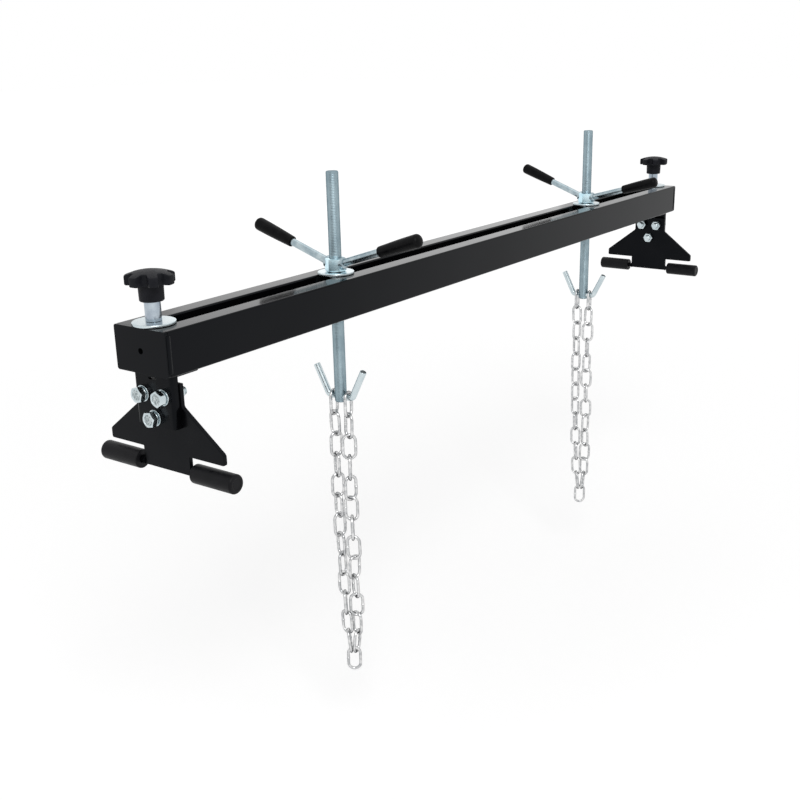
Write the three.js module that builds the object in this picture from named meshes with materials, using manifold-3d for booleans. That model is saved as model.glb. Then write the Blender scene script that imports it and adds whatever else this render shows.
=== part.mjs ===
// Engine support bar: a slotted beam of two rectangular tubes, which bridges an engine bay on two
// rubber-shod feet and carries the engine on two screwed spindles with hooks and chains.
// Millimetres, +Z up, +X along the beam, -Y towards the front. The origin is at mid-span, on the
// level where the rubber sleeves of the feet rest.
import * as THREE from 'three';
import { mergeVertices } from 'three/addons/utils/BufferGeometryUtils.js';
import Module from 'manifold-3d';

const wasm = await Module();
wasm.setup();

// Fits: the clearance between pieces that touch, and how far a cutter passes a face
const gap = 0.3;
const overrun = 4;

// Beam: two rectangular tubes side by side, closed at both ends by a welded plate
const beamLength = 1370;
const tubeHeight = 50;
const tubeWidth = 25;
const tubeWall = 2.5;
const tubeCorner = 3;
const slotWidth = 28;
const endPlateThickness = 4;
const endPlateCorner = 3;
const endPlateHoleRadius = 3.5;

// Spindles: screwed rods that stand in the slot, lifted by a nut with two bar handles
const leftSpindlePlace = -355;
const rightSpindlePlace = 363;
const rodRadius = 8;
const rodLength = 300;
const rodBelowBeam = 121;
const rodChamfer = 1;
const nutAcrossFlats = 24;
const nutHeight = 17;
const nutChamfer = 1.2;
const nutBoreClearance = 0.4;
const thrustWasherRadius = 23.5;
const thrustWasherThickness = 3;
const thrustWasherClearance = 0.8;

// Handle bars: welded to opposite flats of the nut, rising outwards into their grips. They are
// welded by hand, so no two rise quite the same
const handleLength = 140;
const handleRootAboveNut = 7;
const handleBarRadius = 5;
const handleWeldDepth = 1.5;
const leftHandle = { turn: THREE.MathUtils.degToRad(89), rearRise: 45, frontRise: 43 };
const rightHandle = { turn: THREE.MathUtils.degToRad(86), rearRise: 48, frontRise: 37 };
const gripLength = 65;
const gripEndRadius = 8.8;
const gripMouthRadius = 7.2;
const gripWall = 6;
const gripShoulder = 3.5;

// Hook bar: through the foot of the rod, bent up at both ends into horns
const hookBarRadius = 4.5;
const hookBarAboveRodEnd = 7;
const hookBendStart = 15.5;
const hookBendRadius = 6;
const hookHornReach = 39;
const hookHornRise = 39;
const hookBoreClearance = 0.3;

// Chain: two strands of links that hang on the hook bar and share their lowest link
const linkWireRadius = 2;
const linkPitch = 29.5;
const linkInnerWidth = 13.2;
const linkBite = 0.3;
const strandLinks = 13;
const upperStrandLinks = 6;
const strandSpreadAtHook = 12;
const strandSpreadHanging = 10.9;
const strandSpreadLowest = 3.6;
const flexGap = 0.5;

// Feet: a bracket clamped under the slot, with a bolted plate that ends in a sleeved crossbar
const footInset = 22;
const footHeight = 123;
const footPlateThickness = 5;
const footPlateHalfWidth = 88;
const footPlateTipHeight = 12;
const footPlateWingDrop = 94;
const footPlateShoulderDrop = 38;
const footPlateNeckHalfWidth = 31;
const footPlateNeckDrop = 12;
const footPlateCorner = 4;
const tongueHalfWidth = 36;
const bracketWidth = 58;
const bracketSheet = 4;
const bracketDepth = 10;
const bracketFlangeLength = 42;
const bracketDrop = 62;
const bracketBend = 4;
const reliefSlotWidth = 12;
const reliefSlotHeight = 2.5;
const crossbarRadius = 4;
const sleeveRadius = 11;
const sleeveLength = 60;
const sleeveStart = 42;
const sleeveEndWall = 3;
const sleeveRounding = 1.5;
const sleeveBoreClearance = 0.3;

// Foot bolts: three hexagon bolts with captive spring washers, flat washers and nuts
const boltRadius = 5;
const boltLength = 35;
const boltAcrossFlats = 16;
const boltHeadHeight = 6.4;
const boltNutHeight = 8;
const boltHeadChamfer = 0.9;
const springWasherRadius = 7.9;
const springWasherThickness = 2.5;
const flatWasherRadius = 9.2;
const flatWasherThickness = 2;
const boltClearance = 0.5;
const upperBoltHalfSpacing = 15.3;
const upperBoltDrop = 26.5;
const lowerBoltDrop = 52;
const boltHeadTurns = [33, 13, 10];

// Clamps: a stud through the slot, with a washer, a spacer tube and a star knob
const studRadius = 6;
const studBoreClearance = 0.4;
const clampWasherRadius = 23.5;
const clampWasherThickness = 3;
const spacerRadius = 8.8;
const spacerLength = 21.2;
const knobRadius = 27;
const knobFluteRadius = 18.8;
const knobLobes = 7;
const knobLobeSwell = 0.7;
const knobTurn = THREE.MathUtils.degToRad(30);
const knobHubRadius = 13.6;
const knobHubFootRadius = 13.3;
const knobHubHeight = 18;
const knobRimHeight = 10;
const knobDomeRise = 5.4;
const knobBoreDepth = 20;
const knobEdge = 1.5;

// Faces given to round and bent shapes
const hexagonSides = 6;
const wireSides = 6;
const coarseSides = 12;
const roundSides = 16;
const washerSides = 20;
const linkArcSteps = 3;
const cornerSteps = 2;
const bendSteps = 3;

// Heights and places that follow from the sizes above
const beamBottom = footHeight;
const beamTop = beamBottom + tubeHeight;
const tubeCentreOffset = (slotWidth + tubeWidth) / 2;
const beamWidth = slotWidth + 2 * tubeWidth;
const linkWidth = linkInnerWidth + 2 * linkWireRadius;
const linkLength = linkPitch + 2 * linkWireRadius;

// Finishes
const blackPaint = { color: 0x141416, roughness: 0.3, metalness: 0.1 };
const zinc = { color: 0xc3cbd0, roughness: 0.35, metalness: 0.9 };
const darkPlastic = { color: 0x1a1a1c, roughness: 0.55, metalness: 0 };
const gripPlastic = { color: 0x17171a, roughness: 0.45, metalness: 0 };
const blackRubber = { color: 0x121214, roughness: 0.8, metalness: 0 };

// Solids and their geometry

const axes = 3;

function toSolid(geometry) {
  const bare = geometry.index ? geometry.toNonIndexed() : geometry.clone();
  bare.deleteAttribute('normal');
  bare.deleteAttribute('uv');
  const merged = mergeVertices(bare);
  const corners = merged.index.array;
  const triangles = [];
  for (let i = 0; i < corners.length; i += axes) {
    const [a, b, c] = corners.slice(i, i + axes);
    if (a !== b && b !== c && c !== a) triangles.push(a, b, c);
  }
  const mesh = new wasm.Mesh({
    numProp: axes,
    vertProperties: Float32Array.from(merged.attributes.position.array),
    triVerts: Uint32Array.from(triangles),
  });
  return new wasm.Manifold(mesh);
}

function toGeometry(solid) {
  const { vertProperties, triVerts } = solid.getMesh();
  const geometry = new THREE.BufferGeometry();
  geometry.setAttribute('position', new THREE.BufferAttribute(vertProperties, axes));
  geometry.setIndex(new THREE.BufferAttribute(triVerts, 1));
  geometry.computeVertexNormals();
  return geometry;
}

function piece(name, solid, finish) {
  const mesh = new THREE.Mesh(toGeometry(solid), new THREE.MeshStandardMaterial(finish));
  mesh.name = name;
  return mesh;
}

// Turns a shape drawn in one plane so that it stands across X or across Y
const acrossX = new THREE.Matrix4().makeBasis(
  new THREE.Vector3(0, 1, 0), new THREE.Vector3(0, 0, 1), new THREE.Vector3(1, 0, 0));
const acrossY = new THREE.Matrix4().makeBasis(
  new THREE.Vector3(1, 0, 0), new THREE.Vector3(0, 0, 1), new THREE.Vector3(0, -1, 0));

// A cylinder on the Z axis, with a flat facet facing each way along X and Y when flats is true
function cylinder(radius, bottom, top, sides, flats = false) {
  const geometry = new THREE.CylinderGeometry(radius, radius, top - bottom, sides);
  if (flats) geometry.rotateY(Math.PI / sides);
  return toSolid(geometry.rotateX(Math.PI / 2).translate(0, 0, (top + bottom) / 2));
}

// A body turned about the Z axis from [radius, height] corners, in whichever order they run
function turned(profile, sides) {
  const points = profile.map(([radius, height]) => new THREE.Vector2(radius, height));
  if (THREE.ShapeUtils.isClockWise(points)) points.reverse();
  const onAxis = points[0].x === 0 && points.at(-1).x === 0;
  if (!onAxis) points.push(points[0].clone());
  return toSolid(new THREE.LatheGeometry(points, sides).rotateX(Math.PI / 2));
}

// An outline of [x, y, radius] corners, each rounded to its radius
function rounded(corners) {
  const outline = [];
  corners.forEach(([x, y, radius], i) => {
    const here = new THREE.Vector2(x, y);
    if (!radius) {
      outline.push(here);
      return;
    }
    const before = corners.at(i - 1);
    const after = corners[(i + 1) % corners.length];
    const back = new THREE.Vector2(before[0], before[1]).sub(here).normalize();
    const ahead = new THREE.Vector2(after[0], after[1]).sub(here).normalize();
    const half = Math.acos(back.dot(ahead)) / 2;
    const centre = back.clone().add(ahead).setLength(radius / Math.sin(half)).add(here);
    const start = here.clone().addScaledVector(back, radius / Math.tan(half));
    const turn = Math.sign(ahead.cross(back)) * (Math.PI - 2 * half);
    for (let step = 0; step <= cornerSteps; step++) {
      outline.push(start.clone().rotateAround(centre, (turn * step) / cornerSteps));
    }
  });
  return outline;
}

function rectangle(halfWidth, low, high, radius) {
  return rounded([
    [-halfWidth, low, radius], [halfWidth, low, radius],
    [halfWidth, high, radius], [-halfWidth, high, radius],
  ]);
}

// A flat body of one outline, from low to high along its thickness, turned by a basis matrix
function plate(outline, low, high, basis = new THREE.Matrix4()) {
  const geometry = new THREE.ExtrudeGeometry(new THREE.Shape(outline), {
    depth: high - low, bevelEnabled: false,
  });
  return toSolid(geometry.translate(0, 0, low).applyMatrix4(basis));
}

// A bar of round wire swept along points that lie in one plane, whose normal is given
function wire(points, normal, radius, sides, closed) {
  const positions = [];
  const triangles = [];
  const count = points.length;
  points.forEach((point, i) => {
    const before = points[(i + count - 1) % count];
    const after = points[(i + 1) % count];
    const into = closed || i > 0 ? point.clone().sub(before) : after.clone().sub(point);
    const out = closed || i < count - 1 ? after.clone().sub(point) : into.clone();
    const along = into.normalize().add(out.normalize()).normalize();
    const side = normal.clone().cross(along).divideScalar(along.dot(out));
    for (let k = 0; k < sides; k++) {
      const angle = (2 * Math.PI * k) / sides;
      const rim = point.clone()
        .addScaledVector(side, radius * Math.cos(angle))
        .addScaledVector(normal, radius * Math.sin(angle));
      positions.push(rim.x, rim.y, rim.z);
    }
  });
  const rings = closed ? count : count - 1;
  for (let i = 0; i < rings; i++) {
    for (let k = 0; k < sides; k++) {
      const here = i * sides;
      const there = ((i + 1) % count) * sides;
      const next = (k + 1) % sides;
      triangles.push(here + k, here + next, there + k);
      triangles.push(here + next, there + next, there + k);
    }
  }
  if (!closed) {
    const last = (count - 1) * sides;
    for (let k = 1; k < sides - 1; k++) {
      triangles.push(0, k + 1, k);
      triangles.push(last, last + k, last + k + 1);
    }
  }
  const geometry = new THREE.BufferGeometry();
  geometry.setAttribute('position', new THREE.Float32BufferAttribute(positions, axes));
  geometry.setIndex(triangles);
  return toSolid(geometry);
}

function union(solids) {
  return solids.reduce((whole, solid) => whole.add(solid));
}

// A washer or short tube on the Z axis
function ring(outerRadius, innerRadius, bottom, top, sides) {
  return turned([
    [innerRadius, bottom], [outerRadius, bottom], [outerRadius, top], [innerRadius, top],
  ], sides);
}

// A hexagon on the Z axis whose outer corners are chamfered at its top, and at its bottom if asked
function hexagon(acrossFlats, bottom, top, chamfer, bothEnds) {
  const corner = acrossFlats / 2 / Math.cos(Math.PI / hexagonSides);
  const flat = acrossFlats / 2;
  const lowEdge = bothEnds ? [[flat, bottom], [corner, bottom + chamfer]] : [[corner, bottom]];
  const envelope = turned([[0, bottom], ...lowEdge, [corner, top - chamfer], [flat, top], [0, top]],
    coarseSides);
  return cylinder(corner, bottom, top, hexagonSides).intersect(envelope);
}

// Beam

function buildTube(name, sideways) {
  const half = tubeWidth / 2;
  const outer = rectangle(half, beamBottom, beamTop, tubeCorner);
  const inner = rectangle(half - tubeWall, beamBottom + tubeWall, beamTop - tubeWall,
    tubeCorner - tubeWall / 2);
  const reach = beamLength / 2 - endPlateThickness - gap;
  const wall = plate(outer, -reach, reach, acrossX)
    .subtract(plate(inner, -reach - overrun, reach + overrun, acrossX));
  const tube = piece(name, wall, blackPaint);
  tube.position.y = sideways;
  return tube;
}

function buildEndPlate(name, end) {
  const outline = rectangle(beamWidth / 2, beamBottom, beamTop, endPlateCorner);
  const inside = beamLength / 2 - endPlateThickness;
  const hole = cylinder(endPlateHoleRadius, inside - overrun, beamLength / 2 + overrun, coarseSides)
    .transform(acrossX.toArray())
    .translate([0, 0, beamBottom + tubeHeight / 2]);
  const mesh = piece(name, plate(outline, inside, beamLength / 2, acrossX).subtract(hole), blackPaint);
  mesh.rotation.z = end < 0 ? Math.PI : 0;
  return mesh;
}

function buildBeam() {
  const beam = new THREE.Group();
  beam.add(
    buildTube('front_tube', -tubeCentreOffset),
    buildTube('rear_tube', tubeCentreOffset),
    buildEndPlate('left_end_plate', -1),
    buildEndPlate('right_end_plate', 1),
  );
  return beam;
}

// Spindle

const rodBottom = beamBottom - rodBelowBeam;
const hookBarHeight = rodBottom + hookBarAboveRodEnd;
const thrustWasherTop = beamTop + gap + thrustWasherThickness;
const nutBottom = thrustWasherTop + gap;
const handleRootHeight = nutBottom + handleRootAboveNut;

function buildRod() {
  const top = rodBottom + rodLength;
  const rod = turned([
    [0, rodBottom], [rodRadius - rodChamfer, rodBottom], [rodRadius, rodBottom + rodChamfer],
    [rodRadius, top - rodChamfer], [rodRadius - rodChamfer, top], [0, top],
  ], roundSides);
  const bore = cylinder(hookBarRadius + hookBoreClearance, -rodRadius - overrun, rodRadius + overrun,
    coarseSides).transform(acrossY.toArray()).translate([0, 0, hookBarHeight]);
  return rod.subtract(bore);
}

// Straight through the rod, then a round bend and a straight horn at each end
function buildHookBar() {
  const bendCentre = hookBarHeight + hookBendRadius;
  const hornTop = hookBarHeight + hookHornRise;
  const reach = hookHornReach - hookBendStart;
  const rise = hookHornRise - hookBendRadius;
  const lean = Math.atan2(rise, reach) + Math.asin(hookBendRadius / Math.hypot(reach, rise));
  const half = [];
  for (let step = 0; step <= bendSteps; step++) {
    const angle = (lean * step) / bendSteps;
    half.push([
      hookBendStart + hookBendRadius * Math.sin(angle),
      bendCentre - hookBendRadius * Math.cos(angle),
    ]);
  }
  half.push([hookHornReach, hornTop]);
  const front = half.map(([y, z]) => new THREE.Vector3(0, -y, z)).reverse();
  const rear = half.map(([y, z]) => new THREE.Vector3(0, y, z));
  const across = new THREE.Vector3(1, 0, 0);
  return wire([...front, ...rear], across, hookBarRadius, coarseSides, false);
}

// Lays what was turned on Z along a handle bar, on the rear side of the nut or on its front side
function layAlongBar(solid, rise, side) {
  const fromUpright = THREE.MathUtils.radToDeg(Math.acos(rise / handleLength));
  const turn = side > 0 ? 0 : THREE.MathUtils.radToDeg(Math.PI);
  return solid.rotate([0, fromUpright, 0])
    .rotate([0, 0, turn])
    .translate([0, 0, handleRootHeight]);
}

function buildHandleNut(handle) {
  const flat = nutAcrossFlats / 2;
  const barEnd = handleLength - gripWall - gap;
  const bar = cylinder(handleBarRadius, flat - handleWeldDepth, barEnd, coarseSides);
  const nut = hexagon(nutAcrossFlats, nutBottom, nutBottom + nutHeight, nutChamfer, true);
  const bore = cylinder(rodRadius + nutBoreClearance, nutBottom - overrun,
    nutBottom + nutHeight + overrun, roundSides);
  const rearBar = layAlongBar(bar, handle.rearRise, 1);
  const frontBar = layAlongBar(bar, handle.frontRise, -1);
  return union([nut, rearBar, frontBar]).subtract(bore);
}

// A moulded grip that swells from its mouth to a rounded end
function buildGrip(rise, side) {
  const end = handleLength;
  const mouth = end - gripLength;
  const bore = handleBarRadius + gap;
  const grip = turned([
    [bore, mouth], [gripMouthRadius, mouth], [gripMouthRadius + gap, mouth + gripShoulder],
    [(gripMouthRadius + gripEndRadius) / 2, mouth + gripLength / 3],
    [gripEndRadius, end - gripLength / 3], [gripEndRadius, end - 2 * gripShoulder],
    [gripEndRadius - gripShoulder / 2, end - gripShoulder / 2], [gripEndRadius - gripShoulder, end],
    [0, end], [0, end - gripWall], [bore, end - gripWall],
  ], coarseSides);
  return layAlongBar(grip, rise, side);
}

// Chain

// Each link's turn from square to the beam, as shares of a quarter turn, from the hook down
const frontTwistShares = [-0.11, 0.26, 0.6, 0.6, 0.19, -0.22, -0.4, -0.27, 0.13, 0.32, 0.6, 0.16, -0.14];
const rearTwistShares = [-0.11, 0.14, 0.18, 0.37, 0.28, 0.25, 0.17, 0.24, -0.12, 0, -0.4, 0.07, -0.4];
const lowestTwistShare = -0.4;
const quarterTurn = Math.PI / 2;

// The strands hang apart, then draw together over the last rows above the shared link
const convergingShares = [0.91, 0.85, 0.73, 0.62];
const lowestLean = new THREE.Vector3(2.6, -3.7, 0);

// One link with its crown at the origin, hanging down Z, its width along X
function linkPoints() {
  const half = linkWidth / 2;
  const straight = linkLength - linkWidth;
  const crownShare = 1 / Math.cos(Math.PI / (2 * linkArcSteps));
  const points = [];
  for (const [centre, start] of [[-half, 0], [-half - straight, Math.PI]]) {
    for (let step = 0; step <= linkArcSteps; step++) {
      const angle = start + (Math.PI * step) / linkArcSteps;
      const height = crownShare * half * Math.sin(angle);
      points.push(new THREE.Vector3(half * Math.cos(angle), 0, centre + height));
    }
  }
  return points;
}

// Places one link from its crown to its heel, with its width turned to an angle from the Y axis
function placeLink(crown, heel, angle) {
  const up = crown.clone().sub(heel).normalize();
  const width = new THREE.Vector3(Math.sin(angle), Math.cos(angle), 0);
  const normal = up.clone().cross(width).normalize();
  const across = normal.clone().cross(up);
  const frame = new THREE.Matrix4().makeBasis(across, normal, up).setPosition(crown);
  const points = linkPoints().map((point) => point.applyMatrix4(frame));
  return wire(points, normal, linkWireRadius, wireSides, true);
}

// Where a strand stands at the heel of each link: it turns with the shared link as it draws in
function heelPlace(i, side) {
  const rowsLeft = strandLinks - 1 - i;
  const rows = convergingShares.length;
  let spread = i === 0 ? strandSpreadAtHook : strandSpreadHanging;
  if (rowsLeft === 0) spread = strandSpreadLowest;
  else if (rowsLeft <= rows) spread *= convergingShares.at(-rowsLeft);
  const turn = lowestTwistShare * quarterTurn * Math.max(0, 1 - rowsLeft / rows);
  const lean = Math.max(0, i - upperStrandLinks + 1) / (strandLinks - upperStrandLinks);
  return new THREE.Vector3(Math.sin(turn), Math.cos(turn), 0).multiplyScalar(side * spread)
    .addScaledVector(lowestLean, lean);
}

// The links of one strand, with the heel of the last one
function buildStrand(side, twistShares) {
  const links = [];
  const crown = new THREE.Vector3(0, side * strandSpreadAtHook,
    hookBarHeight + hookBarRadius + gap + linkWireRadius);
  let heel;
  twistShares.forEach((share, i) => {
    heel = heelPlace(i, side);
    const drift = Math.hypot(heel.x - crown.x, heel.y - crown.y);
    heel.z = crown.z - Math.sqrt(linkLength ** 2 - drift ** 2);
    const square = i % 2 === 0 ? quarterTurn : 0;
    links.push(placeLink(crown, heel, square + share * quarterTurn));
    const clearance = i === upperStrandLinks - 1 ? flexGap : -linkBite;
    crown.copy(heel);
    crown.z += 2 * linkWireRadius + clearance;
  });
  return { links, heel };
}

// The shared link hangs with the heels of both strands side by side under its crown
function buildLowestLink(heelHeight) {
  const half = linkWidth / 2;
  const nested = half - 2 * linkWireRadius + linkBite;
  const crown = lowestLean.clone();
  crown.z = heelHeight + half - Math.sqrt(nested ** 2 - strandSpreadLowest ** 2);
  const heel = crown.clone();
  heel.z -= linkLength;
  return placeLink(crown, heel, lowestTwistShare * quarterTurn);
}

function buildSpindle(side, place, handle) {
  const spindle = new THREE.Group();
  spindle.position.x = place;
  const washer = ring(thrustWasherRadius, rodRadius + thrustWasherClearance, beamTop + gap,
    thrustWasherTop, washerSides);
  const front = buildStrand(-1, frontTwistShares);
  const rear = buildStrand(1, rearTwistShares);
  const lowest = buildLowestLink(front.heel.z);
  spindle.add(
    piece(`${side}_spindle_rod`, buildRod(), zinc),
    piece(`${side}_hook_bar`, buildHookBar(), zinc),
    piece(`${side}_thrust_washer`, washer, zinc),
    piece(`${side}_upper_chain_front`, union(front.links.slice(0, upperStrandLinks)), zinc),
    piece(`${side}_upper_chain_rear`, union(rear.links.slice(0, upperStrandLinks)), zinc),
    piece(`${side}_lower_chain`, union([
      ...front.links.slice(upperStrandLinks), ...rear.links.slice(upperStrandLinks), lowest,
    ]), zinc),
  );
  const handles = new THREE.Group();
  handles.rotation.z = handle.turn;
  handles.add(
    piece(`${side}_handle_nut`, buildHandleNut(handle), zinc),
    piece(`${side}_rear_grip`, buildGrip(handle.rearRise, 1), gripPlastic),
    piece(`${side}_front_grip`, buildGrip(handle.frontRise, -1), gripPlastic),
  );
  spindle.add(handles);
  return spindle;
}

// Foot, drawn about its stud with the outer face of the bracket towards -X

const bracketOuter = -bracketDepth;
const bracketTop = beamBottom - gap;
const bracketBottom = beamBottom - bracketDrop;
const flangeBottom = bracketTop - bracketSheet;
const boltPlaces = [
  [-upperBoltHalfSpacing, beamBottom - upperBoltDrop],
  [upperBoltHalfSpacing, beamBottom - upperBoltDrop],
  [0, beamBottom - lowerBoltDrop],
];

function boltHoles(from, to) {
  return boltPlaces.map(([y, z]) => cylinder(boltRadius + boltClearance, from - overrun, to + overrun,
    coarseSides).transform(acrossX.toArray()).translate([0, y, z]));
}

// A folded channel under a flange: its web carries the bolts and its edges bear on the foot plate
function buildBracket() {
  const half = bracketWidth / 2;
  const inside = bracketOuter + bracketSheet;
  const channel = plate(rounded([
    [bracketOuter, -half, bracketBend], [-gap, -half, 0], [-gap, bracketSheet - half, 0],
    [inside, bracketSheet - half, 0], [inside, half - bracketSheet, 0],
    [-gap, half - bracketSheet, 0], [-gap, half, 0], [bracketOuter, half, bracketBend],
  ]), bracketBottom, bracketTop);
  const flangeEnd = bracketOuter + bracketFlangeLength;
  const flange = plate(rounded([
    [bracketOuter, -half, bracketBend], [flangeEnd, -half, bracketBend],
    [flangeEnd, half, bracketBend], [bracketOuter, half, bracketBend],
  ]), flangeBottom, bracketTop);
  const bend = plate(rounded([
    [bracketOuter, bracketBottom, 0], [flangeEnd, bracketBottom, 0],
    [flangeEnd, bracketTop, 0], [bracketOuter, bracketTop, bracketBend],
  ]), -half, half, acrossY);
  const reliefTop = flangeBottom - reliefSlotHeight;
  const relief = plate(rectangle(reliefSlotWidth / 2, reliefTop - reliefSlotHeight, reliefTop,
    reliefSlotHeight / 2 - gap), bracketOuter - overrun, inside + gap, acrossX);
  const studHole = cylinder(studRadius + studBoreClearance, flangeBottom - overrun,
    bracketTop + overrun, roundSides);
  return union([channel, flange]).intersect(bend)
    .subtract(union([...boltHoles(bracketOuter, inside), relief, studHole]));
}

// A wide triangle with upright tips, notched on each side of the tongue that meets the crossbar
const crossbarHeight = sleeveRadius;
const tongueBottom = crossbarHeight + crossbarRadius + gap;

function buildFootPlate() {
  const wing = beamBottom - footPlateWingDrop;
  const half = [
    [tongueHalfWidth, tongueBottom, 0],
    [tongueHalfWidth, wing, 0],
    [footPlateHalfWidth, wing, footPlateCorner / 2],
    [footPlateHalfWidth, wing + footPlateTipHeight, footPlateCorner],
    [footPlateNeckHalfWidth, beamBottom - footPlateShoulderDrop, footPlateCorner],
    [footPlateNeckHalfWidth, beamBottom - footPlateNeckDrop, 0],
  ];
  const mirrored = half.map(([y, z, radius]) => [-y, z, radius]).reverse();
  const outline = rounded([...half, ...mirrored]);
  return plate(outline, 0, footPlateThickness, acrossX)
    .subtract(union(boltHoles(0, footPlateThickness)));
}

// Hexagon head, captive spring washer and shank in one, turned in degrees as it was tightened
function buildBolt(turn) {
  const underWasher = bracketOuter - gap - flatWasherThickness - gap;
  const underHead = underWasher - springWasherThickness;
  const headOuter = underHead - boltHeadHeight;
  const head = hexagon(boltAcrossFlats, -underHead, -headOuter, boltHeadChamfer, false);
  const spring = cylinder(springWasherRadius, -underWasher, -underHead, coarseSides);
  const shank = cylinder(boltRadius, -underHead - boltLength, -underHead, coarseSides);
  return union([head, spring, shank]).rotate([0, 0, turn]);
}

function buildFlatWasher() {
  const inner = -bracketOuter + gap;
  return ring(flatWasherRadius, boltRadius + boltClearance, inner, inner + flatWasherThickness,
    coarseSides);
}

function buildBoltNut() {
  const outer = -footPlateThickness - gap;
  return hexagon(boltAcrossFlats, outer - boltNutHeight, outer, boltHeadChamfer, true)
    .subtract(cylinder(boltRadius + boltClearance, outer - boltNutHeight - overrun, outer + overrun,
      coarseSides));
}

// Fasteners are turned on Z with their heads up, then laid over so that their heads face -X
function layOver(mesh, y, z) {
  mesh.rotation.y = -Math.PI / 2;
  mesh.position.set(0, y, z);
  return mesh;
}

function buildCrossbar() {
  const reach = sleeveStart + sleeveLength - sleeveEndWall - gap;
  return cylinder(crossbarRadius, -reach, reach, coarseSides, true);
}

// A blind rubber sleeve, closed at its outer end
function buildSleeve() {
  const sides = coarseSides;
  const outer = sleeveRadius / Math.cos(Math.PI / sides);
  const bore = crossbarRadius + sleeveBoreClearance;
  const end = sleeveStart + sleeveLength;
  const sleeve = turned([
    [bore, sleeveStart], [outer - sleeveRounding, sleeveStart],
    [outer, sleeveStart + sleeveRounding], [outer, end - sleeveRounding],
    [outer - sleeveRounding, end], [0, end], [0, end - sleeveEndWall], [bore, end - sleeveEndWall],
  ], sides);
  return sleeve.rotate([0, 0, THREE.MathUtils.radToDeg(Math.PI / sides)]);
}

// Clamp

const clampWasherTop = beamTop + gap + clampWasherThickness;
const spacerTop = clampWasherTop + gap + spacerLength;
const knobBottom = spacerTop + gap;

function buildStud() {
  const top = knobBottom + knobBoreDepth - gap;
  return turned([
    [0, flangeBottom], [studRadius, flangeBottom], [studRadius, top - rodChamfer],
    [studRadius - rodChamfer, top], [0, top],
  ], roundSides);
}

// Seven rounded lobes with hollow flutes between them, under a low dome, on a round hub
function buildKnob() {
  const rim = knobBottom + knobHubHeight;
  const shoulder = rim + knobRimHeight;
  const crown = shoulder + knobDomeRise;
  const pointsPerLobe = 4;
  const outline = [];
  for (let i = 0; i < knobLobes * pointsPerLobe; i++) {
    const wave = (1 + Math.cos((2 * Math.PI * i) / pointsPerLobe)) / 2;
    const radius = knobFluteRadius + (knobRadius - knobFluteRadius) * wave ** knobLobeSwell;
    const angle = knobTurn + (2 * Math.PI * i) / (knobLobes * pointsPerLobe);
    outline.push(new THREE.Vector2(radius * Math.cos(angle), radius * Math.sin(angle)));
  }
  const star = plate(outline, rim, crown);
  const dome = turned([
    [0, rim], [knobRadius - knobEdge, rim], [knobRadius, rim + knobEdge],
    [knobRadius, shoulder - knobDomeRise / 2], [knobRadius - knobEdge, shoulder],
    [knobHubRadius, crown - knobDomeRise / 4], [0, crown],
  ], washerSides);
  const hub = turned([
    [0, knobBottom], [knobHubFootRadius, knobBottom], [knobHubRadius, rim], [knobHubRadius, shoulder],
    [0, shoulder],
  ], roundSides);
  const bore = cylinder(studRadius + studBoreClearance, knobBottom - overrun,
    knobBottom + knobBoreDepth, roundSides);
  return star.intersect(dome).add(hub).subtract(bore);
}

function buildFoot(side, place, turn) {
  const foot = new THREE.Group();
  foot.position.x = place;
  foot.rotation.z = turn;
  const bore = studRadius + studBoreClearance;
  foot.add(
    piece(`${side}_clamp_knob`, buildKnob(), darkPlastic),
    piece(`${side}_clamp_spacer`,
      ring(spacerRadius, bore, clampWasherTop + gap, spacerTop, roundSides), zinc),
    piece(`${side}_clamp_washer`,
      ring(clampWasherRadius, bore, beamTop + gap, clampWasherTop, washerSides), zinc),
    piece(`${side}_clamp_stud`, buildStud(), zinc),
    piece(`${side}_foot_bracket`, buildBracket(), blackPaint),
    piece(`${side}_foot_plate`, buildFootPlate(), blackPaint),
  );
  boltPlaces.forEach(([y, z], i) => {
    const number = i + 1;
    foot.add(
      layOver(piece(`${side}_foot_bolt_${number}`, buildBolt(boltHeadTurns[i]), zinc), y, z),
      layOver(piece(`${side}_foot_washer_${number}`, buildFlatWasher(), zinc), y, z),
      layOver(piece(`${side}_foot_nut_${number}`, buildBoltNut(), zinc), y, z),
    );
  });
  const crossbar = piece(`${side}_foot_crossbar`, buildCrossbar(), blackPaint);
  const ends = turn ? ['rear', 'front'] : ['front', 'rear'];
  const sleeves = ends.map((end) => piece(`${side}_${end}_sleeve`, buildSleeve(), blackRubber));
  const lying = new THREE.Group();
  lying.position.set(footPlateThickness / 2, 0, crossbarHeight);
  lying.rotation.x = Math.PI / 2;
  sleeves[1].rotation.x = Math.PI;
  lying.add(crossbar, ...sleeves);
  foot.add(lying);
  return foot;
}

const engineSupportBar = new THREE.Group();
engineSupportBar.add(
  buildBeam(),
  buildSpindle('left', leftSpindlePlace, leftHandle),
  buildSpindle('right', rightSpindlePlace, rightHandle),
  buildFoot('left', -(beamLength / 2 - footInset), 0),
  buildFoot('right', beamLength / 2 - footInset, Math.PI),
);

export default engineSupportBar;
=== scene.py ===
"""Engine support bar in its finishes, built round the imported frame. Metres, +Z up, +X along the beam."""

from math import acos, atan2, cos, hypot, pi, radians, sin, sqrt, tan, tau

import bmesh
import bpy
from mathutils import Matrix, Vector


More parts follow.
